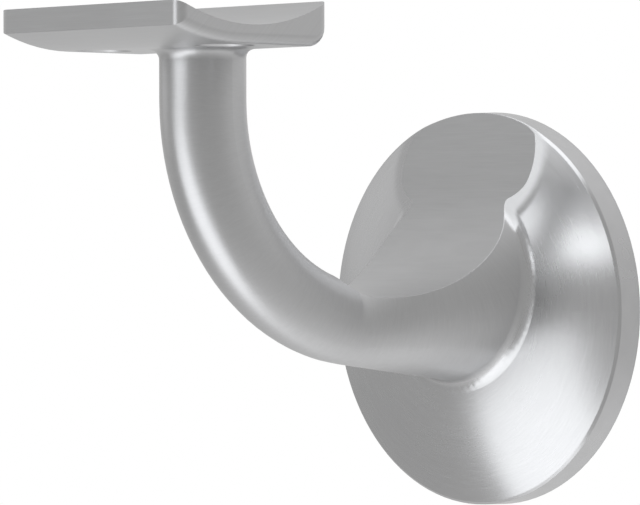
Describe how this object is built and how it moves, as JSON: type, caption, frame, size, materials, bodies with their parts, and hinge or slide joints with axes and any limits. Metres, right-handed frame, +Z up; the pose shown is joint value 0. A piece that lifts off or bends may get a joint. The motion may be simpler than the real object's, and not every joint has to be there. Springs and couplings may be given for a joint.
{
  "type": "handrail bracket",
  "caption": "One-piece cast handrail bracket with a round wall rose, a scooped flare, a swept round arm and a shallow saddle plate for the rail.",
  "frame": {"origin": "centre of the rose's flat back face, at the mouth of the wall stud hole, in the plane of the wall", "axes": "+X along the handrail, +Y into the wall, so that the bracket stands out along -Y, and +Z up"},
  "size_m": [0.0804, 0.1094, 0.0997],
  "materials": {
    "satin_aluminium": "satin, fine brushed"
  },
  "bodies": {
    "root": {"bracket": "satin_aluminium"}
  },
  "joints": []
}
